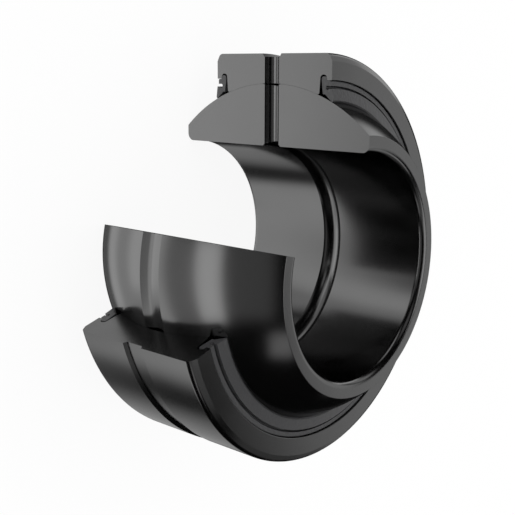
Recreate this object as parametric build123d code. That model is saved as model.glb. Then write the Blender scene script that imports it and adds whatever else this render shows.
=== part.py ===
from build123d import *
import os
from math import sqrt

# Spherical plain bearing, cut open to show its inside.
# Millimetres. The bearing axis is +Z and the origin is the centre of the sphere.
# Every section is drawn with x as the radius and y as the height along the axis.

# Inner ring
bore_d = 30.0
inner_width = 32.0
face_land = 2.212          # flat of each end face, from the bore out to the sphere
bore_chamfer = 0.6
shoulder_break = 0.12      # rounding where the sphere meets the end face

# Outer ring
outer_width = 20.0
race_wall = 4.0            # ring wall over the middle of the sphere
race_clearance = 0.025     # running gap between sphere and race
race_edge_round = 0.25
cone_radial = 1.05         # lead-in cone at each end of the outside diameter
cone_axial = 0.5
cone_round = 0.8           # rounding from the cone into the outside diameter

# Lubrication grooves and holes
crown_groove_width = 3.3   # on the sphere of the inner ring
crown_groove_depth = 0.36  # to the sharp root, which is then rounded
crown_groove_root = 3.2    # radius at the bottom of the groove
bore_groove_width = 3.1    # in the bore of the inner ring
bore_groove_depth = 0.65
rim_groove_width = 3.3     # round the outside of the outer ring
rim_groove_floor = 2.7
rim_groove_depth = 0.43
oil_hole_d = 2.5
oil_holes = 2              # evenly spaced round both rings

# Seal groove at each end of the race
retaining_lip = 0.71       # ring wall left outside the seal's neck
mouth_rise = 1.91          # mouth radius over the edge of the race
mouth_round = 0.1
undercut_rise = 0.72       # groove radius over the mouth
undercut_lean = 0.29       # slope of the undercut, axial over radial
seat_width = 0.88          # width of the groove at its outer radius
seat_round = 0.45
wall_lean = 0.076          # slope of the groove's inner wall

# Seal, one moulded ring with a slit that lets its lip bend
seat_clearance = 0.03      # between the seal and the ring where the ring holds it
bulb_gap = 0.23            # over the seal's bulb, to the groove
bulb_round = 0.33
bulb_edge_round = 0.22
heel_gap = 0.21            # behind the bulb, to the groove's inner wall
heel_rise = 0.12           # heel radius over the mouth
collar_recess = 0.22       # collar front, inside the ring's face
collar_wall = 0.69
collar_round = 0.2
slit_width = 0.37
slit_depth = 0.44          # to the middle of the round end
slit_end_d = 0.56
slit_end_drop = 0.05       # round end, off the slit's middle towards the lip
lip_clearance = 0.02       # between the lip and the sphere
lip_stand = 0.1            # lip's tip over the ring's face
lip_nose_stand = 0.13      # nose over the tip
lip_nose_rise = 0.22
lip_root_stand = 0.04      # lip's front over the ring's face, at the slit
toe_rise = 0.12            # toe radius over the edge of the race
toe_gap = 0.6              # between the toe and the end of the race
toe_width = 0.34

# Sectors cut away, from the section plane round towards the viewer
section_azimuth = 90.0
inner_window_angle = 75.25
outer_window_angle = 105.5

# Sizes that follow
bore_r = bore_d / 2
face_r = bore_r + face_land
half_inner = inner_width / 2
half_outer = outer_width / 2
sphere_r = sqrt(face_r**2 + half_inner**2)
race_r = sphere_r + race_clearance
outside_r = sphere_r + race_wall

neck_z = half_outer - retaining_lip
seat_top_z = neck_z - undercut_lean * undercut_rise
race_edge_z = seat_top_z - seat_width - wall_lean * (mouth_rise + undercut_rise)
race_edge_r = sqrt(race_r**2 - race_edge_z**2)
mouth_r = race_edge_r + mouth_rise
seat_r = mouth_r + undercut_rise


def groove_wall_z(radius):
    """Height of the seal groove's inner wall at a radius."""
    return race_edge_z + wall_lean * (radius - race_edge_r)


def undercut_z(radius):
    """Height of the undercut, which leans in over the seal's bulb, at a radius."""
    return neck_z - undercut_lean * (radius - mouth_r)


def rounded(face, corner, radius):
    """The face with the one corner nearest to the given point rounded."""
    vertex = face.vertices().sort_by_distance(corner)[0]
    return fillet(vertex, radius)


def both_ends(face):
    """The face, and its mirror image at the other end of the bearing."""
    return Sketch() + [face, mirror(face, Plane.XZ)]


def turned(section, window):
    """A section turned about the bearing axis, less the sector of the window."""
    ring = revolve(Plane.XZ * section, axis=Axis.Z, revolution_arc=360 - window)
    return ring.rotate(Axis.Z, section_azimuth + window)


def oil_hole_drills():
    """One radial drill for each oil hole, the first on the section plane."""
    drill = Cylinder(oil_hole_d / 2, outside_r, align=(Align.CENTER, Align.CENTER, Align.MIN))
    along_x = Rot(0, 90, 0) * drill
    step = 360 / oil_holes
    return Part() + [Rot(0, 0, section_azimuth + step * i) * along_x for i in range(oil_holes)]


def inner_section():
    """Ball outside, straight bore inside, with one groove in each."""
    stock_width = sphere_r - bore_r
    stock = Pos(bore_r + stock_width / 2, 0) * Rectangle(stock_width, inner_width)
    section = Circle(sphere_r) & stock

    half_crown = crown_groove_width / 2
    crown_edge_r = sqrt(sphere_r**2 - half_crown**2)
    crown_root_r = sphere_r - crown_groove_depth
    crown_v = make_face(
        Polyline(
            (crown_root_r, 0),
            (crown_edge_r, -half_crown),
            (crown_edge_r + crown_groove_depth, -half_crown),
            (crown_edge_r + crown_groove_depth, half_crown),
            (crown_edge_r, half_crown),
            (crown_root_r, 0),
        )
    )
    section -= rounded(crown_v, (crown_root_r, 0), crown_groove_root)

    half_bore = bore_groove_width / 2
    bore_arc = ThreePointArc((bore_r, -half_bore), (bore_r + bore_groove_depth, 0), (bore_r, half_bore))
    section -= make_face(bore_arc + Line((bore_r, half_bore), (bore_r, -half_bore)))

    for z in (-half_inner, half_inner):
        bore_corner = section.vertices().sort_by_distance((bore_r, z))[0]
        section = chamfer(bore_corner, bore_chamfer)
        section = rounded(section, (face_r, z), shoulder_break)
    return section


def seal_groove():
    """Material taken out of the outer ring for the upper seal."""
    inside_r = race_edge_r - mouth_rise
    groove = make_face(
        Polyline(
            (inside_r, race_edge_z),
            (race_edge_r, race_edge_z),
            (seat_r, groove_wall_z(seat_r)),
            (seat_r, seat_top_z),
            (mouth_r, neck_z),
            (mouth_r, half_outer + mouth_rise),
            (inside_r, half_outer + mouth_rise),
            (inside_r, race_edge_z),
        )
    )
    groove = rounded(groove, (seat_r, groove_wall_z(seat_r)), seat_round)
    return rounded(groove, (seat_r, seat_top_z), seat_round)


def outer_section():
    """Race inside, straight rim outside, with the rim groove and both seal grooves."""
    stock_width = outside_r - bore_r
    section = Pos(bore_r + stock_width / 2, 0) * Rectangle(stock_width, outer_width)
    section -= Circle(race_r)
    section -= both_ends(seal_groove())
    for side in (-1, 1):
        section = rounded(section, (race_edge_r, side * race_edge_z), race_edge_round)
        section = rounded(section, (mouth_r, side * half_outer), mouth_round)

    half_top = rim_groove_width / 2
    half_floor = rim_groove_floor / 2
    floor_r = outside_r - rim_groove_depth
    section -= make_face(
        Polyline(
            (outside_r, -half_top),
            (floor_r, -half_floor),
            (floor_r, half_floor),
            (outside_r, half_top),
            (outside_r, -half_top),
        )
    )

    cone = make_face(
        Polyline(
            (outside_r - cone_radial, half_outer),
            (outside_r, half_outer),
            (outside_r, half_outer - cone_axial),
            (outside_r - cone_radial, half_outer),
        )
    )
    section -= both_ends(cone)
    for z in (-half_outer + cone_axial, half_outer - cone_axial):
        section = rounded(section, (outside_r, z), cone_round)
    return section


def seal_section():
    """Upper seal: bulb in the groove, collar in the mouth, slit, and lip on the sphere."""
    collar_r = mouth_r - seat_clearance
    collar_z = half_outer - collar_recess
    slit_r = collar_r - collar_wall - slit_width / 2
    slit_bottom_z = collar_z - slit_depth
    bulb_r = seat_r - bulb_gap
    heel_r = mouth_r + heel_rise
    bulb_inner = (bulb_r, groove_wall_z(bulb_r) + heel_gap)
    bulb_outer = (bulb_r, undercut_z(bulb_r) - seat_clearance)
    toe_r = race_edge_r + toe_rise
    toe_z = race_edge_z + toe_gap
    tip_z = half_outer + lip_stand
    tip_r = sqrt((sphere_r + lip_clearance) ** 2 - tip_z**2)

    section = make_face(
        Polyline(
            (tip_r, tip_z),
            (tip_r + lip_nose_rise, tip_z + lip_nose_stand),
            (slit_r - slit_width / 2, half_outer + lip_root_stand),
            (slit_r + slit_width / 2, collar_z),
            (collar_r, collar_z),
            (collar_r, undercut_z(collar_r) - seat_clearance),
            bulb_outer,
            bulb_inner,
            (heel_r, groove_wall_z(heel_r) + heel_gap),
            (toe_r, toe_z),
            (toe_r, toe_z + toe_width),
            (tip_r, tip_z),
        )
    )
    section = rounded(section, bulb_outer, bulb_edge_round)
    section = rounded(section, bulb_inner, bulb_round)
    section = rounded(section, (collar_r, collar_z), collar_round)

    slit_length = half_outer + lip_nose_stand - slit_bottom_z
    slit = Pos(slit_r, slit_bottom_z + slit_length / 2) * Rectangle(slit_width, slit_length)
    slit_end = Pos(slit_r - slit_end_drop, slit_bottom_z) * Circle(slit_end_d / 2)
    return section - slit - slit_end


def inner_ring():
    return turned(inner_section(), inner_window_angle) - oil_hole_drills()


def outer_ring():
    return turned(outer_section(), outer_window_angle) - oil_hole_drills()


def upper_seal():
    return turned(seal_section(), outer_window_angle)


def lower_seal():
    return turned(mirror(seal_section(), Plane.XZ), outer_window_angle)


os.makedirs("parts", exist_ok=True)
for make_piece in (inner_ring, outer_ring, upper_seal, lower_seal):
    piece = make_piece()
    solid = piece.solid()
    export_step(solid, f"parts/{make_piece.__name__}.step")
    print(f"{make_piece.__name__}: {solid.volume:.1f} mm3, valid {solid.is_valid}")
print(f"sphere {2 * sphere_r:.3f}, outside {2 * outside_r:.3f}, race edge {race_edge_r:.3f} at {race_edge_z:.3f}")
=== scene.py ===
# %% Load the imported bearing
import math

import bmesh
import bpy
from mathutils import Matrix, Vector


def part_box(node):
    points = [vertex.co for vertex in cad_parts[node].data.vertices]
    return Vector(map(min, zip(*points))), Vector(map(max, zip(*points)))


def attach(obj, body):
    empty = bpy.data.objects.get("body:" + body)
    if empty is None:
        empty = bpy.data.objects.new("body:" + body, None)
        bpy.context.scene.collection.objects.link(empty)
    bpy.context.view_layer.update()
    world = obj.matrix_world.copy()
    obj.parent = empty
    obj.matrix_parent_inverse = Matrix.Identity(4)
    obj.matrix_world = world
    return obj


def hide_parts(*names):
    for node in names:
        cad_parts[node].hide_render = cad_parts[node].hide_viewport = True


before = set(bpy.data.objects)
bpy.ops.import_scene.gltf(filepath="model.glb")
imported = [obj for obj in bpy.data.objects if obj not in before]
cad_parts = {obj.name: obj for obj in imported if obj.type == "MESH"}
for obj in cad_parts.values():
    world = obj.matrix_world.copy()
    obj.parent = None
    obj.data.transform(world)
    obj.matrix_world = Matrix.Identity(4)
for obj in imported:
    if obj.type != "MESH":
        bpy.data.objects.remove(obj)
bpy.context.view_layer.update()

print("nodes:", sorted(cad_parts))

# %% [markdown]
# This is a spherical plain bearing, cut open like a sample on a maker's desk. A ball-shaped inner ring
# swivels in the hollow race of an outer ring, and a rubber seal sits in a groove at each end of it.
#
# Every piece was turned on a lathe or moulded in a round mould, so one drawing says all about it:
# half of its section, spun about the bearing's axis. The drawing is made first, in millimetres,
# with x as the radius and y as the height, and it is spun afterwards. The sizes are those of the CAD;
# only the small roundings named "edge_round" and "edge_break" for the inner ring are added here.

# %% Sizes of the two rings
MM = 0.001

bore_r = 15.0
inner_half = 16.0
face_land = 2.212
face_r = bore_r + face_land
bore_chamfer = 0.6
bore_edge_round = 0.9
shoulder_break = 0.12
sphere_r = math.hypot(face_r, inner_half)

outer_half = 10.0
race_wall = 4.0
race_clearance = 0.025
outside_r = sphere_r + race_wall
race_r = sphere_r + race_clearance
race_edge_round = 0.25
cone_radial = 1.05
cone_axial = 0.5
cone_round = 0.8

crown_groove_width = 3.3
crown_groove_depth = 0.36
crown_groove_root = 3.2
crown_edge_break = 0.3
bore_groove_width = 3.1
bore_groove_depth = 0.65
rim_groove_width = 3.3
rim_groove_floor = 2.7
rim_groove_depth = 0.43
oil_hole_d = 2.5
oil_holes = 2
print(f"sphere {2 * sphere_r:.2f} mm, outside diameter {2 * outside_r:.2f} mm")

# %% [markdown]
# Each end of the race has a groove for a seal. One wall of the groove leans in over the seal, so that
# the rubber can't slip out again. Its corners could be typed in one by one, but then a change to one
# size would leave the others behind. Here a few sizes are given, and every place is worked out from
# them, starting at the ring's end face.

# %% Sizes of the seal groove
retaining_lip = 0.71
mouth_rise = 1.91
mouth_round = 0.1
undercut_rise = 0.72
undercut_lean = 0.29
seat_width = 0.88
seat_round = 0.45
wall_lean = 0.076

neck_z = outer_half - retaining_lip
seat_top_z = neck_z - undercut_lean * undercut_rise
race_edge_z = seat_top_z - seat_width - wall_lean * (mouth_rise + undercut_rise)
race_edge_r = math.sqrt(race_r**2 - race_edge_z**2)
mouth_r = race_edge_r + mouth_rise
seat_r = mouth_r + undercut_rise
print(f"the race ends at radius {race_edge_r:.2f} mm, {race_edge_z:.2f} mm from the middle")

# %% [markdown]
# A machinist breaks every sharp corner a little. A Bevel modifier could round the finished ring, but it
# would need a weight on each edge to give every corner a radius of its own. Written as a list, a section
# is its corners with the radius that each is rounded by, and a helper puts the arcs in. An arc's points
# come from its angle, so a larger turn gets more of them. The list runs up the inside and down the
# outside. That order decides which way the faces point once the section is spun.

# %% Helpers that draw arcs and round corners
CORNER_STEP = math.radians(11)
SPHERE_STEP = math.radians(1)


def rounded(corners):
    """Points of a closed outline, from corners given as (radius, height, rounding)."""
    points = []
    count = len(corners)
    for i, (x, y, rounding) in enumerate(corners):
        corner = Vector((x, y))
        if not rounding:
            points.append(corner)
            continue
        back = (Vector(corners[i - 1][:2]) - corner).normalized()
        ahead = (Vector(corners[(i + 1) % count][:2]) - corner).normalized()
        half = back.angle(ahead) / 2
        centre = corner + (back + ahead).normalized() * rounding / math.sin(half)
        first = corner + back * rounding / math.tan(half) - centre
        turn = math.copysign(math.pi - 2 * half, back.cross(ahead))
        steps = math.ceil(abs(turn) / CORNER_STEP)
        for k in range(steps + 1):
            points.append(centre + Matrix.Rotation(-turn * k / steps, 2) @ first)
    return points


def on_circle(radius, angle, centre):
    """A corner with no rounding on a circle, at an angle from the radial direction."""
    return (centre[0] + radius * math.cos(angle), centre[1] + radius * math.sin(angle), 0)


def arc(radius, start, end, step=SPHERE_STEP, centre=(0.0, 0.0)):
    """Corners with no rounding along an arc about a centre, its two ends left out."""
    steps = math.ceil(abs(end - start) / step)
    return [on_circle(radius, start + (end - start) * k / steps, centre) for k in range(1, steps)]


# %% [markdown]
# The inner ring is a ball with a straight bore. Oil runs round it in a shallow groove on the ball and a
# deeper one in the bore. Booleans could cut the grooves out of a plain ring, but a lathe cuts them in
# the same turn as the rest, so they are simply in the drawing. The edges of the bore's chamfer and of
# the groove on the ball catch the light as thin lines in the photo. A sharp edge gives no such line, so
# these edges, which are plain in the CAD, get a small rounding here.

# %% Section of the inner ring
BORE_GROOVE_STEP = math.radians(5)


def inner_ring_section():
    """Bore with its groove, end faces, and the ball with its groove."""
    half_bore = bore_groove_width / 2
    bore_arc_r = (half_bore**2 + bore_groove_depth**2) / (2 * bore_groove_depth)
    bore_arc_x = bore_r + bore_groove_depth - bore_arc_r
    bore_arc_half = math.asin(half_bore / bore_arc_r)
    chamfer_r = bore_r + bore_chamfer
    bore_end = inner_half - bore_chamfer
    half_crown = crown_groove_width / 2
    crown_edge = math.asin(half_crown / sphere_r)
    crown_edge_r = sphere_r * math.cos(crown_edge)
    face_edge = math.asin(inner_half / sphere_r)

    corners = [(chamfer_r, -inner_half, bore_edge_round), (bore_r, -bore_end, bore_edge_round)]
    corners += [(bore_r, -half_bore, 0)]
    corners += arc(bore_arc_r, -bore_arc_half, bore_arc_half, BORE_GROOVE_STEP, (bore_arc_x, 0))
    corners += [(bore_r, half_bore, 0)]
    corners += [(bore_r, bore_end, bore_edge_round), (chamfer_r, inner_half, bore_edge_round)]
    corners += [(face_r, inner_half, shoulder_break)]
    corners += arc(sphere_r, face_edge, crown_edge)
    corners += [(crown_edge_r, half_crown, crown_edge_break)]
    corners += [(sphere_r - crown_groove_depth, 0, crown_groove_root)]
    corners += [(crown_edge_r, -half_crown, crown_edge_break)]
    corners += arc(sphere_r, -crown_edge, -face_edge)
    corners += [(face_r, -inner_half, shoulder_break)]
    return rounded(corners)


print("inner ring outline:", len(inner_ring_section()), "points")


# %% [markdown]
# The outer ring holds the ball in a hollow race. Each end has an undercut groove that the seal snaps
# into. The outside has a flat-bottomed groove that brings oil to the holes, and a short lead-in cone
# that helps the ring into its housing. The two ends are alike. A Mirror modifier could copy one of them
# and weld it at the middle, but a list of corners is as easily turned over, and it leaves no seam.

# %% Section of the outer ring
def outer_ring_section():
    """Race, seal grooves, end faces and the outside with its groove."""
    def wall_z(radius):
        return race_edge_z + wall_lean * (radius - race_edge_r)

    race_edge = math.atan2(race_edge_z, race_edge_r)
    rim_floor_r = outside_r - rim_groove_depth
    upper = [
        (race_edge_r, race_edge_z, race_edge_round),
        (seat_r, wall_z(seat_r), seat_round),
        (seat_r, seat_top_z, seat_round),
        (mouth_r, neck_z, 0),
        (mouth_r, outer_half, mouth_round),
        (outside_r - cone_radial, outer_half, 0),
        (outside_r, outer_half - cone_axial, cone_round),
        (outside_r, rim_groove_width / 2, 0),
        (rim_floor_r, rim_groove_floor / 2, 0),
    ]
    lower = [(x, -y, rounding) for x, y, rounding in reversed(upper)]
    race = arc(race_r, -race_edge, race_edge)
    return rounded(upper + lower + race)


print("outer ring outline:", len(outer_ring_section()), "points")

# %% [markdown]
# The seal is one rubber moulding. Its bulb is locked behind the undercut of the ring, its collar fills
# the mouth of the groove, and its lip leans on the ball. A slit with a round end lets the lip bend while
# the collar stays still. The slit could be cut out afterwards, but all of this shows in the outline, so
# it is drawn corner by corner, and the places are taken from the groove that the seal has to fit. The
# real lip presses on the ball. A rigid one would cut into it, so this lip stays a hair's breadth away.

# %% Section of the seal
SLIT_STEP = math.radians(12)
seat_clearance = 0.03
bulb_gap = 0.23
bulb_round = 0.33
bulb_edge_round = 0.22
heel_gap = 0.21
heel_rise = 0.12
collar_recess = 0.22
collar_wall = 0.69
collar_round = 0.2
slit_width = 0.37
slit_depth = 0.44
slit_end_r = 0.28
slit_end_drop = 0.05
lip_clearance = 0.02
lip_stand = 0.1
lip_nose_stand = 0.13
lip_nose_rise = 0.22
lip_root_stand = 0.04
toe_rise = 0.12
toe_gap = 0.6
toe_width = 0.34


def slit_end(slit_r, slit_z):
    """Round end of the slit, from its lip side, under it and up to its collar side."""
    centre = (slit_r - slit_end_drop, slit_z)
    lip_side = slit_end_drop - slit_width / 2
    collar_side = slit_end_drop + slit_width / 2
    start = math.acos(lip_side / slit_end_r)
    end = math.acos(collar_side / slit_end_r)
    middle = arc(slit_end_r, start, 2 * math.pi + end, SLIT_STEP, centre)
    return [on_circle(slit_end_r, start, centre), *middle, on_circle(slit_end_r, end, centre)]


def seal_section(side):
    """Bulb, collar, slit and lip of the seal at the upper (1) or lower (-1) end."""
    def wall_z(radius):
        return race_edge_z + wall_lean * (radius - race_edge_r) + heel_gap

    def undercut_z(radius):
        return neck_z - undercut_lean * (radius - mouth_r) - seat_clearance

    collar_r = mouth_r - seat_clearance
    collar_z = outer_half - collar_recess
    slit_r = collar_r - collar_wall - slit_width / 2
    bulb_r = seat_r - bulb_gap
    heel_r = mouth_r + heel_rise
    toe_r = race_edge_r + toe_rise
    toe_z = race_edge_z + toe_gap
    tip_z = outer_half + lip_stand
    tip_r = math.sqrt((sphere_r + lip_clearance) ** 2 - tip_z**2)
    corners = [
        (toe_r, toe_z, 0),
        (toe_r, toe_z + toe_width, 0),
        (tip_r, tip_z, 0),
        (tip_r + lip_nose_rise, tip_z + lip_nose_stand, 0),
        (slit_r - slit_width / 2, outer_half + lip_root_stand, 0),
        *slit_end(slit_r, collar_z - slit_depth),
        (slit_r + slit_width / 2, collar_z, 0),
        (collar_r, collar_z, collar_round),
        (collar_r, undercut_z(collar_r), 0),
        (bulb_r, undercut_z(bulb_r), bulb_edge_round),
        (bulb_r, wall_z(bulb_r), bulb_round),
        (heel_r, wall_z(heel_r), 0),
    ]
    if side < 0:
        corners = [(x, -y, rounding) for x, y, rounding in reversed(corners)]
    return rounded(corners)


print("seal outline:", len(seal_section(1)), "points")

# %% [markdown]
# Finishes, the tree that turns a ring and the room are all node trees. Written out node by node they
# are long, so one helper adds a node, sets it and links its inputs in a single line.

# %% A helper that adds a node
def add(tree, kind, inputs=None, **settings):
    """A new node with its settings, its inputs linked to sockets or set to plain values."""
    node = tree.nodes.new(kind)
    for name, value in settings.items():
        setattr(node, name, value)
    for key, value in (inputs or {}).items():
        if isinstance(value, bpy.types.NodeSocket):
            tree.links.new(value, node.inputs[key])
        else:
            node.inputs[key].default_value = value
    return node


# %% [markdown]
# Marks on metal and grain in rubber are far too fine to be modelled, so they are bump: a height that
# bends the light and leaves the shape alone. Here the height is a noise. Painted pictures would do this
# too, but they need the rings unwrapped first. Steel is cloudy as well where hands have touched it, so
# a slow noise moves the roughness a little. One helper makes each finish from its marks and the values
# that go straight on the shader's own sockets.

# %% Helpers for the finishes
CLOUD_CELLS = 120
CLOUD_SPREAD = 0.08
NOISE_LOW = 0.3
NOISE_HIGH = 0.7


def noise(tree, place, cells, detail):
    """Values about 0.5 from a noise at a place, with so many cells to the metre."""
    values = {"Vector": place, "Scale": cells, "Detail": detail}
    return add(tree, "ShaderNodeTexNoise", values).outputs[0]


def object_place(tree):
    """The place of a point on its piece."""
    return add(tree, "ShaderNodeTexCoord").outputs["Object"]


def finish(name, sockets, roughness, marks, mark_depth):
    """A material with marks of a depth in metres, and a roughness that is slightly cloudy."""
    material = bpy.data.materials.new(name)
    material.use_nodes = True
    tree = material.node_tree
    shader = tree.nodes["Principled BSDF"]
    for socket, value in sockets.items():
        shader.inputs[socket].default_value = value
    cloud = {0: noise(tree, object_place(tree), CLOUD_CELLS, 2), 1: NOISE_LOW, 2: NOISE_HIGH}
    cloud.update({3: (1 - CLOUD_SPREAD) * roughness, 4: (1 + CLOUD_SPREAD) * roughness})
    tree.links.new(add(tree, "ShaderNodeMapRange", cloud).outputs[0], shader.inputs["Roughness"])
    bump = add(tree, "ShaderNodeBump", {"Strength": 1.0, "Distance": mark_depth, "Height": marks(tree)})
    tree.links.new(bump.outputs[0], shader.inputs["Normal"])
    return material


# %% [markdown]
# The turned surfaces are dark in the photo, as on rings that are blackened after hardening, and they
# still mirror the room, softly. A mirror is only as clear as its surface is smooth, so Roughness does
# most of the work. Lathe marks run round the axis, so their height depends on radius and height only.
# A metal's Specular Tint is its shine at a grazing angle. It is grey here and not white, as a guess at
# what a blackened skin does.

# %% Steel with marks that run round the axis
STEEL_MARK_CELLS = 9000
STEEL_MARK_DETAIL = 3
BLACKENED_SHINE = (0.7, 0.7, 0.7, 1)


def round_the_axis(tree, across):
    """A place that is the same all round the axis: the radius times a number, and the height."""
    parts = add(tree, "ShaderNodeSeparateXYZ", {0: object_place(tree)}).outputs
    flat = add(tree, "ShaderNodeCombineXYZ", {"X": parts["X"], "Y": parts["Y"]}).outputs[0]
    radius = add(tree, "ShaderNodeVectorMath", {0: flat}, operation="LENGTH").outputs["Value"]
    radius = add(tree, "ShaderNodeMath", {0: radius, 1: across}, operation="MULTIPLY").outputs[0]
    return add(tree, "ShaderNodeCombineXYZ", {"X": radius, "Z": parts["Z"]}).outputs[0]


def lathe_marks(tree):
    return noise(tree, round_the_axis(tree, 1), STEEL_MARK_CELLS, STEEL_MARK_DETAIL)


blackened = {"Base Color": (0.235, 0.235, 0.235, 1), "Metallic": 1.0, "Specular Tint": BLACKENED_SHINE}
turned_steel = finish("turned_steel", blackened, 0.18, lathe_marks, 4e-8)
print("finish:", turned_steel.name)

# %% [markdown]
# A sample like this is cut open after it is made, and the cut is ground flat. Grinding leaves straight
# fine lines and a duller surface than the lathe. The cut is given a slightly lighter colour as well,
# since a black skin would end at its edge. That the rings have such a skin is a guess.
# Anisotropic would smear a highlight in the same way, but it draws no lines. The lines run from the
# axis outwards, so the noise is stretched along the radius.

# %% Steel of the ground cut
RADIAL_STRETCH = 0.03


def grinding_marks(tree):
    return noise(tree, round_the_axis(tree, RADIAL_STRETCH), STEEL_MARK_CELLS, STEEL_MARK_DETAIL)


ground = {"Base Color": (0.265, 0.265, 0.265, 1), "Metallic": 1.0, "Specular Tint": BLACKENED_SHINE}
cut_steel = finish("cut_steel", ground, 0.25, grinding_marks, 8e-8)
print("finish:", cut_steel.name)

# %% [markdown]
# Seals like these are usually moulded from black nitrile rubber. It scatters most of the light it gives
# back, so it is not metallic and its colour is nearly black, but a faint broad shine is left. The mould
# and the filler in rubber leave a fine grain in every direction, so this height is a plain noise in
# space. The grain is hardly larger than a pixel of the photo, so its size is a guess.

# %% Rubber with a fine grain
RUBBER_GRAIN_CELLS = 2600


def grain(tree):
    return noise(tree, object_place(tree), RUBBER_GRAIN_CELLS, 1)


black_rubber = {"Base Color": (0.052, 0.052, 0.054, 1), "Metallic": 0.0, "Specular IOR Level": 0.9}
moulded_rubber = finish("moulded_rubber", black_rubber, 0.3, grain, 4e-5)
print("finish:", moulded_rubber.name)

# %% [markdown]
# Spinning a section is a rule, so Geometry Nodes do it. Blender has a Screw modifier for this too, but
# it leaves the two cut ends open and knows nothing of drilled holes. The tree here takes a grid, one
# column for each point of the section and one row for each step round the axis, and moves every grid
# point to its place.

# %% The skin of a ring
def turned_grid(tree, section, start, sweep, steps):
    """The outside skin: grid points carried to the section's points, turned about Z."""
    points = add(tree, "GeometryNodeAttributeDomainSize", {0: section}).outputs["Point Count"]
    columns = add(tree, "FunctionNodeIntegerMath", {0: points, 1: 1}).outputs[0]
    rows = add(tree, "FunctionNodeIntegerMath", {0: steps, 1: 1}).outputs[0]
    grid = add(tree, "GeometryNodeMeshGrid", {"Vertices X": columns, "Vertices Y": rows}).outputs["Mesh"]

    index = add(tree, "GeometryNodeInputIndex").outputs[0]
    per_row = {0: index, 1: rows}
    column = add(tree, "FunctionNodeIntegerMath", per_row, operation="DIVIDE_FLOOR").outputs[0]
    row = add(tree, "FunctionNodeIntegerMath", per_row, operation="MODULO").outputs[0]
    column = add(tree, "FunctionNodeIntegerMath", {0: column, 1: points}, operation="MODULO").outputs[0]
    place = add(tree, "GeometryNodeInputPosition").outputs[0]
    drawn = add(tree, "GeometryNodeSampleIndex", {"Geometry": section}, data_type="FLOAT_VECTOR")
    tree.links.new(place, drawn.inputs["Value"])
    tree.links.new(column, drawn.inputs["Index"])
    parts = add(tree, "ShaderNodeSeparateXYZ", {0: drawn.outputs[0]}).outputs
    upright = add(tree, "ShaderNodeCombineXYZ", {"X": parts["X"], "Z": parts["Y"]}).outputs[0]

    share = add(tree, "ShaderNodeMath", {0: row, 1: steps}, operation="DIVIDE").outputs[0]
    swept = {0: share, 1: sweep, 2: start}
    angle = add(tree, "ShaderNodeMath", swept, operation="MULTIPLY_ADD").outputs[0]
    about_z = {"Vector": upright, "Angle": angle}
    spun = add(tree, "ShaderNodeVectorRotate", about_z, rotation_type="Z_AXIS").outputs[0]
    return add(tree, "GeometryNodeSetPosition", {"Geometry": grid, "Position": spun}).outputs[0]


# %% [markdown]
# The sector cut away leaves two flat faces, each of them the section itself. A boolean with a wedge
# would cut them too, but filling the drawing and standing it up at the first and the last angle gives
# the same faces without a cutter. They carry a mark, so that they can be given the ground finish once
# all parts of the ring are one mesh.

# %% The two cut faces
CUT_MARK = "cut"


def cut_faces(tree, section, start, sweep):
    """The section filled, stood up at the first and the last angle, and marked as cut."""
    outline = add(tree, "GeometryNodeMeshToCurve", {"Mesh": section}).outputs[0]
    filled = add(tree, "GeometryNodeFillCurve", {"Curve": outline}, mode="NGONS").outputs[0]
    mark = {"Geometry": filled, "Name": CUT_MARK, "Value": True}
    marked = add(tree, "GeometryNodeStoreNamedAttribute", mark, data_type="BOOLEAN", domain="FACE")
    upright = {"Geometry": marked.outputs[0], "Rotation": (math.pi / 2, 0, 0)}
    stood = add(tree, "GeometryNodeTransform", upright).outputs[0]
    last = add(tree, "ShaderNodeMath", {0: start, 1: sweep}).outputs[0]
    ends = []
    for angle in (start, last):
        about_z = add(tree, "ShaderNodeCombineXYZ", {"Z": angle}).outputs[0]
        end = add(tree, "GeometryNodeTransform", {"Geometry": stood, "Rotation": about_z}).outputs[0]
        ends.append(end)
    ends[1] = add(tree, "GeometryNodeFlipFaces", {"Mesh": ends[1]}).outputs[0]
    return ends


# %% [markdown]
# Oil reaches the sliding surfaces through holes drilled straight at the axis. A drill is a cylinder that
# lies along the radius, placed on one point for each hole and turned by its share of a full circle. The
# boolean that takes the drills away leaves the curved edge that a drill leaves in a round wall. Only
# the hole in the cut can be seen in the photo. The one opposite it is a guess.

# %% The oil holes
DRILL_SIDES = 62


def drills(tree, count, diameter, reach, first):
    """Radial drills, evenly spaced round the axis."""
    radius = add(tree, "ShaderNodeMath", {0: diameter, 1: 0.5}, operation="MULTIPLY").outputs[0]
    sizes = {"Vertices": DRILL_SIDES, "Radius": radius, "Depth": reach}
    drill = add(tree, "GeometryNodeMeshCylinder", sizes).outputs["Mesh"]
    half = add(tree, "ShaderNodeMath", {0: reach, 1: 0.5}, operation="MULTIPLY").outputs[0]
    outward = add(tree, "ShaderNodeCombineXYZ", {"X": half}).outputs[0]
    along_x = {"Geometry": drill, "Translation": outward, "Rotation": (0, math.pi / 2, 0)}
    lying = add(tree, "GeometryNodeTransform", along_x).outputs[0]
    spots = add(tree, "GeometryNodePoints", {"Count": count}).outputs[0]
    index = add(tree, "GeometryNodeInputIndex").outputs[0]
    pitch = add(tree, "ShaderNodeMath", {0: 2 * math.pi, 1: count}, operation="DIVIDE").outputs[0]
    spaced = {0: index, 1: pitch, 2: first}
    turn = add(tree, "ShaderNodeMath", spaced, operation="MULTIPLY_ADD").outputs[0]
    about_z = add(tree, "ShaderNodeCombineXYZ", {"Z": turn}).outputs[0]
    placing = {"Points": spots, "Instance": lying, "Rotation": about_z}
    placed = add(tree, "GeometryNodeInstanceOnPoints", placing).outputs[0]
    return add(tree, "GeometryNodeRealizeInstances", {0: placed}).outputs[0]


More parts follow.
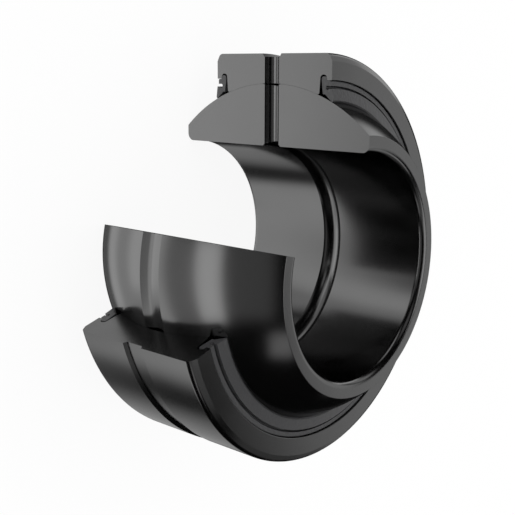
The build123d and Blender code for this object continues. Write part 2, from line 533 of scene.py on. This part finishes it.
# %% [markdown]
# The whole tree joins skin and cut faces into one closed mesh, drills it if it has holes, and shades
# it: faces that meet at a small angle are blended, and edges that meet at more than that stay crisp.
# Four trees could make the four pieces, but they are all turned in the same way. So there is one tree,
# and its inputs have plain names. Its lengths are millimetres, the one for merging points as well.

# %% The tree that turns a section into a ring
MERGE_DISTANCE = 1e-3
SHARP_EDGE = math.radians(25)


def turning_tree():
    """Node tree that turns a drawn section into a closed ring, with radial holes if it has any."""
    tree = bpy.data.node_groups.new("turned_ring", "GeometryNodeTree")
    tree.is_modifier = True
    kinds = {
        "Section": "NodeSocketGeometry",
        "Start": "NodeSocketFloat",
        "Sweep": "NodeSocketFloat",
        "Steps": "NodeSocketInt",
        "Holes": "NodeSocketInt",
        "Hole diameter": "NodeSocketFloat",
        "Hole reach": "NodeSocketFloat",
        "First hole": "NodeSocketFloat",
        "Turned finish": "NodeSocketMaterial",
        "Cut finish": "NodeSocketMaterial",
    }
    for name, kind in kinds.items():
        tree.interface.new_socket(name=name, in_out="INPUT", socket_type=kind)
    tree.interface.new_socket(name="Ring", in_out="OUTPUT", socket_type="NodeSocketGeometry")
    given = tree.nodes.new("NodeGroupInput").outputs

    skin = turned_grid(tree, given["Section"], given["Start"], given["Sweep"], given["Steps"])
    closed = add(tree, "GeometryNodeJoinGeometry", {0: skin})
    for end in cut_faces(tree, given["Section"], given["Start"], given["Sweep"]):
        tree.links.new(end, closed.inputs[0])
    merged = {0: closed.outputs[0], "Distance": MERGE_DISTANCE}
    merged = add(tree, "GeometryNodeMergeByDistance", merged).outputs[0]
    dark = {0: merged, "Material": given["Turned finish"]}
    merged = add(tree, "GeometryNodeSetMaterial", dark).outputs[0]

    bits = drills(tree, given["Holes"], given["Hole diameter"], given["Hole reach"], given["First hole"])
    bits = add(tree, "GeometryNodeSetMaterial", {0: bits, "Material": given["Turned finish"]}).outputs[0]
    bored = add(tree, "GeometryNodeMeshBoolean", {"Mesh 1": merged, "Mesh 2": bits}, solver="EXACT")
    count = {"A": given["Holes"], "B": 0}
    has_holes = add(tree, "FunctionNodeCompare", count, data_type="INT").outputs[0]
    either = {"Switch": has_holes, "False": merged, "True": bored.outputs["Mesh"]}
    ring = add(tree, "GeometryNodeSwitch", either).outputs[0]

    angle = add(tree, "GeometryNodeInputMeshEdgeAngle").outputs["Unsigned Angle"]
    gentle = {"A": angle, "B": SHARP_EDGE}
    soft = add(tree, "FunctionNodeCompare", gentle, operation="LESS_THAN").outputs[0]
    smooth = {0: add(tree, "GeometryNodeSetShadeSmooth", {0: ring}).outputs[0], "Shade Smooth": soft}
    shaded = add(tree, "GeometryNodeSetShadeSmooth", smooth, domain="EDGE").outputs[0]

    cut = add(tree, "GeometryNodeInputNamedAttribute", {"Name": CUT_MARK}, data_type="BOOLEAN").outputs[0]
    whole = add(tree, "GeometryNodeRealizeInstances", {0: shaded}).outputs[0]
    painted = {0: whole, "Selection": cut, "Material": given["Cut finish"]}
    whole = add(tree, "GeometryNodeSetMaterial", painted).outputs[0]
    tree.links.new(whole, tree.nodes.new("NodeGroupOutput").inputs[0])
    return tree


ring_tree = turning_tree()
print("turning tree:", len(ring_tree.nodes), "nodes")

# %% [markdown]
# Each piece starts as its drawing, a loop of points in the XY plane, and the tree makes the ring of it.
# A flat face beside a small rounding looks bulged if the two share their normals evenly, so a Weighted
# Normal modifier lets the larger face decide. It has no effect on faces as small as these are in metres,
# and for that reason the ring is turned in millimetres and scaled down last. The result is kept as
# a plain mesh, and the modifiers go.

# %% From a drawing to a ring
section_azimuth = 90.0
STEP_DEGREES = 1.0
DRILL_OVERRUN = 1.0


def drawing(name, points):
    """The section as an object: its points in the XY plane, joined in a loop."""
    mesh = bpy.data.meshes.new(name)
    loop = [(i, (i + 1) % len(points)) for i in range(len(points))]
    mesh.from_pydata([(p.x, p.y, 0) for p in points], loop, [])
    piece = bpy.data.objects.new(name, mesh)
    bpy.context.collection.objects.link(piece)
    return piece


def plain_mesh(piece):
    """The piece with its modifiers worked into its mesh, in metres, and no empty material slots."""
    bpy.context.view_layer.update()
    done = bpy.data.meshes.new_from_object(piece.evaluated_get(bpy.context.evaluated_depsgraph_get()))
    done.transform(Matrix.Scale(MM, 4))
    piece.modifiers.clear()
    piece.data = done
    while None in list(done.materials):
        done.materials.pop(index=list(done.materials).index(None))
    return piece


def turned(name, points, window, holes, turned_finish, cut_finish):
    """A ring turned from its section, less the sector of the window."""
    piece = drawing(name, points)
    values = {
        "Start": math.radians(section_azimuth + window),
        "Sweep": math.radians(360 - window),
        "Steps": round((360 - window) / STEP_DEGREES),
        "Holes": holes,
        "Hole diameter": oil_hole_d,
        "Hole reach": outside_r + DRILL_OVERRUN,
        "First hole": math.radians(section_azimuth),
        "Turned finish": turned_finish,
        "Cut finish": cut_finish,
    }
    modifier = piece.modifiers.new("turning", "NODES")
    modifier.node_group = ring_tree
    for socket in ring_tree.interface.items_tree:
        if socket.name in values:
            modifier[socket.identifier] = values[socket.name]
    flats = piece.modifiers.new("flat_faces", "WEIGHTED_NORMAL")
    flats.keep_sharp = True
    return plain_mesh(piece)


# %% [markdown]
# On the sample, more is cut away from the outer ring and its seals than from the inner ring, so that the
# ball can be seen. Both cuts start at the same plane, which runs through the middle of an oil hole, and
# that hole is seen in half. The eye can miss a mesh that is inside out or lacks a face, and the printed
# volume shows it. The inner ring's volume is 7 mm3 less than that of its solid in the CAD, as its extra
# roundings and its flat facets take a little steel away.

# %% Turn the four pieces
inner_window = 75.25
outer_window = 105.5


def volume_mm3(piece):
    """Volume inside the mesh, which is right only if it is closed and faces outwards."""
    work = bmesh.new()
    work.from_mesh(piece.data)
    volume = work.calc_volume(signed=True)
    work.free()
    return volume / MM**3


ball = turned("ball_ring", inner_ring_section(), inner_window, oil_holes, turned_steel, cut_steel)
race = turned("race_ring", outer_ring_section(), outer_window, oil_holes, turned_steel, cut_steel)
upper = turned("upper_lip_seal", seal_section(1), outer_window, 0, moulded_rubber, moulded_rubber)
lower = turned("lower_lip_seal", seal_section(-1), outer_window, 0, moulded_rubber, moulded_rubber)
for piece in (ball, race, upper, lower):
    print(piece.name, len(piece.data.polygons), "faces,", f"{volume_mm3(piece):.1f} mm3")

# %% [markdown]
# Each dressed piece hides the solid of the CAD that it replaces and moves with a body. The outer ring
# carries both seals, so the three tilt together on the ball.

# %% Hide the solids that the pieces replace and attach each piece to its body
for piece, node, body, slot in (
    (ball, "inner_ring", "inner_body", "ring_steel"),
    (race, "outer_ring", "outer_body", "ring_steel"),
    (upper, "upper_seal", "outer_body", "seal_rubber"),
    (lower, "lower_seal", "outer_body", "seal_rubber"),
):
    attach(piece, body)
    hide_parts(node)
    print(piece.name, "rides", body, "and wears", [material.name for material in piece.data.materials])

# %% [markdown]
# In the photo the bearing lies on its side: the section stands upright and the bore points at the
# viewer's right. So the camera is set up beside the bearing, level about its +Y axis, and the bearing
# itself stays where the CAD has it. Place, aim and lens were found by matching edges in the photo.

# %% Camera
CAMERA_PLACE = Vector((-94.65, 25.71, 77.22))
CAMERA_AIM = Vector((-1.33, -0.73, -1.33))
CAMERA_ROLL = 0.17
LENS = 61.5
SENSOR_WIDTH = 36
NEAREST = 5
FARTHEST = 20000
back = (CAMERA_PLACE - CAMERA_AIM).normalized()
right = Vector((0, 1, 0)).cross(back).normalized()
level = Matrix((right, back.cross(right), back)).transposed()
turn = level @ Matrix.Rotation(math.radians(CAMERA_ROLL), 3, "Z")

camera = bpy.data.objects.new("camera", bpy.data.cameras.new("camera"))
bpy.context.collection.objects.link(camera)
bpy.context.scene.camera = camera
camera.matrix_world = Matrix.Translation(CAMERA_PLACE * MM) @ turn.to_4x4()
camera.data.sensor_width = SENSOR_WIDTH
camera.data.lens = LENS
camera.data.clip_start = NEAREST * MM
camera.data.clip_end = FARTHEST * MM
print(f"camera {CAMERA_PLACE.length:.0f} mm from the middle of the bearing")

# %% [markdown]
# Smooth steel has hardly a look of its own: it shows the room. The photo's bearing shows a studio with
# soft light panels, bright ones beside and under it and dark gaps between them, and those make its
# bands. The panels are painted on the world by direction, as soft-edged rectangles in azimuth and
# elevation about the bearing's +Y axis. Area lamps could do it, but they would need placing in space,
# and here only the direction counts. Where two panels overlap, the later one is in front.
#
# The shape of the bearing tells which way each point of it mirrors. Worked backwards from the bands in
# the photo, that gave a rough map of where the studio was light. The panels were drawn up from the map,
# and then moved and dimmed until a render had nearly the same bands. They fit this one view only.

# %% Panels of the room
ROOM = (
    # azimuth, elevation, half width, half height, softness, brightness
    (157, -5, 19, 27, 6, 0.15),
    (98, -36, 22, 11, 5, 0.15),
    (105, 38, 16, 13, 5, 0.17),
    (129, -50, 12, 9, 5, 0.38),
    (0, 90, 200, 20, 8, 0.55),
    (0, -30, 12, 14, 5, 0.35),
    (30, -52, 30, 10, 5, 0.10),
    (42, -43, 18, 5, 3, 0.60),
    (47, -10, 6, 4, 2, 0.75),
    (20, -38, 11, 8, 4, 0.45),
    (22, -8, 16, 21, 5, 0.52),
    (83, -10, 20, 17, 4, 0.80),
    (20, 28, 22, 9, 5, 0.46),
    (1, 21, 10, 14, 4, 1.05),
    (174, 32, 10, 8, 4, 0.28),
    (202, -10, 12, 26, 4, 0.31),
    (181, -9, 9, 25, 3, 1.1),
    (206, 42, 10, 12, 4, 0.38),
    (240, 44, 18, 8, 4, 0.55),
    (270, -45, 40, 12, 4, 0.40),
    (239, -43, 16, 13, 5, 0.75),
    (265, -50, 15, 10, 10, 0.03),
    (255, -7, 25, 21, 4, 0.67),
    (222, 0, 9, 46, 5, 0.79),
    (239, 0, 8, 18, 4, 1.03),
    (271, -9, 7, 16, 4, 1.04),
    (268, 34, 38, 11, 5, 0.36),
    (290, 44, 26, 9, 5, 0.36),
    (297, 35, 9, 8, 4, 0.64),
    (250, -32, 14, 5, 4, 0.55),
    (290, -12, 9, 14, 4, 0.16),
    (303, -37, 12, 11, 5, 0.54),
    (328, -12, 9, 7, 3, 0.90),
    (326, 8, 9, 14, 5, 0.20),
)
BETWEEN_PANELS = 0.006
print("room:", len(ROOM), "panels")

# %% [markdown]
# A panel is worked out from the way a ray goes. Its azimuth and elevation are angles, and so is the
# distance of each from the panel's middle. Smoothstep then turns the distance into a soft edge. An
# image of the room would need less arithmetic, but a number in the list is easier to change.

# %% Brightness of the room in a direction
def directions(tree):
    """Azimuth and elevation of the way a ray goes, about the +Y axis."""
    way = add(tree, "ShaderNodeTexCoord").outputs["Generated"]
    way = add(tree, "ShaderNodeVectorMath", {0: way}, operation="NORMALIZE").outputs[0]
    parts = add(tree, "ShaderNodeSeparateXYZ", {0: way}).outputs
    elevation = add(tree, "ShaderNodeMath", {0: parts["Y"]}, operation="ARCSINE").outputs[0]
    azimuth = add(tree, "ShaderNodeMath", {0: parts["Z"], 1: parts["X"]}, operation="ARCTAN2").outputs[0]
    return azimuth, elevation


def within(tree, angle, middle, half, softness):
    """1 for an angle within a half width of the middle, falling softly to 0; all in degrees."""
    middle = {0: angle, 1: math.radians(middle)}
    away = add(tree, "ShaderNodeMath", middle, operation="SUBTRACT").outputs[0]
    away = add(tree, "ShaderNodeMath", {0: away, 1: math.pi, 2: -math.pi}, operation="WRAP").outputs[0]
    away = add(tree, "ShaderNodeMath", {0: away}, operation="ABSOLUTE").outputs[0]
    edge = {0: away, 1: math.radians(half - softness), 2: math.radians(half + softness), 3: 1.0, 4: 0.0}
    return add(tree, "ShaderNodeMapRange", edge, interpolation_type="SMOOTHSTEP").outputs[0]


def room_brightness(tree):
    """Brightness of the room in a ray's direction, later panels over earlier ones."""
    azimuth, elevation = directions(tree)
    room = BETWEEN_PANELS
    for at_azimuth, at_elevation, half_width, half_height, softness, brightness in ROOM:
        across = within(tree, azimuth, at_azimuth, half_width, softness)
        along = within(tree, elevation, at_elevation, half_height, softness)
        inside = add(tree, "ShaderNodeMath", {0: across, 1: along}, operation="MULTIPLY").outputs[0]
        room = add(tree, "ShaderNodeMix", {0: inside, 2: room, 3: brightness}).outputs[0]
    return room


# %% [markdown]
# Only mirrored rays see the panels. All other rays see plain white, which is the even light of
# a product studio. Lamps would light the steel and make its bands at once, but then neither could be
# changed alone. The bore mirrors itself, and there it comes out lighter than in the photo. So a ray
# that was mirrored before sees the room dimmer. That isn't how light works: it is a stand-in.

# %% The world
SECOND_MIRRORING = 0.32
MIRRORED_BEFORE = 1.5


def ray_kinds(tree, kinds):
    """1 for a ray of one of the kinds, 0 for any other."""
    path = add(tree, "ShaderNodeLightPath").outputs
    found = path[kinds[0]]
    for kind in kinds[1:]:
        found = add(tree, "ShaderNodeMath", {0: found, 1: path[kind]}, operation="MAXIMUM").outputs[0]
    return found


def studio_world():
    """World that is plain white, but holds the panels for mirrored rays."""
    world = bpy.data.worlds.new("studio")
    world.use_nodes = True
    world.cycles.sampling_method = "NONE"
    tree = world.node_tree
    tree.nodes.clear()
    times = {0: add(tree, "ShaderNodeLightPath").outputs["Glossy Depth"], 1: MIRRORED_BEFORE}
    again = add(tree, "ShaderNodeMath", times, operation="GREATER_THAN").outputs[0]
    dimmed = add(tree, "ShaderNodeMix", {0: again, 2: 1.0, 3: SECOND_MIRRORING}).outputs[0]
    panels = {0: room_brightness(tree), 1: dimmed}
    panels = add(tree, "ShaderNodeMath", panels, operation="MULTIPLY").outputs[0]
    mirrored = ray_kinds(tree, ("Is Glossy Ray",))
    strength = add(tree, "ShaderNodeMix", {0: mirrored, 2: 1.0, 3: panels}).outputs[0]
    light = add(tree, "ShaderNodeBackground", {"Color": (1, 1, 1, 1), "Strength": strength}).outputs[0]
    add(tree, "ShaderNodeOutputWorld", {"Surface": light})
    return world


bpy.context.scene.world = studio_world()
print("world:", len(bpy.context.scene.world.node_tree.nodes), "nodes")

# %% [markdown]
# The photo's ground is pure white with no edge. A curved backdrop could give that, and so can a large
# plane just under the bearing, which looks the same from every side. What the camera sees of it is
# mostly glow, so it comes out white, and the part that is plain white paint keeps a faint shadow.
# Mirrored rays pass through it to the room, as the steel in the photo shows panels below the bearing.

# %% Floor
FLOOR_HALF = 3.0
PAINT = (0.9, 0.9, 0.9, 1)
GLOW_SHARE = 0.9
GLOW_STRENGTH = 1.01


def white_floor():
    """White paint and glow for the camera, nothing for mirrored rays."""
    white = bpy.data.materials.new("white_floor")
    white.use_nodes = True
    white.cycles.emission_sampling = "NONE"
    tree = white.node_tree
    tree.nodes.clear()
    paint = add(tree, "ShaderNodeBsdfDiffuse", {"Color": PAINT}).outputs[0]
    glow = {"Color": (1, 1, 1, 1), "Strength": GLOW_STRENGTH}
    glow = add(tree, "ShaderNodeEmission", glow).outputs[0]
    seen = ray_kinds(tree, ("Is Camera Ray", "Is Transmission Ray"))
    share = add(tree, "ShaderNodeMath", {0: seen, 1: GLOW_SHARE}, operation="MULTIPLY").outputs[0]
    lit = add(tree, "ShaderNodeMixShader", {0: share, 1: paint, 2: glow}).outputs[0]
    clear = add(tree, "ShaderNodeBsdfTransparent").outputs[0]
    mirrored = ray_kinds(tree, ("Is Glossy Ray",))
    surface = add(tree, "ShaderNodeMixShader", {0: mirrored, 1: lit, 2: clear}).outputs[0]
    add(tree, "ShaderNodeOutputMaterial", {"Surface": surface})
    return white


floor_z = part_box("inner_ring")[0][2]
corners = [(x * FLOOR_HALF, y * FLOOR_HALF, floor_z) for x, y in ((-1, -1), (1, -1), (1, 1), (-1, 1))]
floor = bpy.data.objects.new("floor", bpy.data.meshes.new("floor"))
floor.data.from_pydata(corners, [], [(0, 1, 2, 3)])
floor.data.materials.append(white_floor())
bpy.context.collection.objects.link(floor)
print(f"floor at {floor_z / MM:.1f} mm")

# %% [markdown]
# Standard keeps colours as they are written: a white that is white on paper is white here.

# %% Colours
bpy.context.scene.view_settings.view_transform = "Standard"
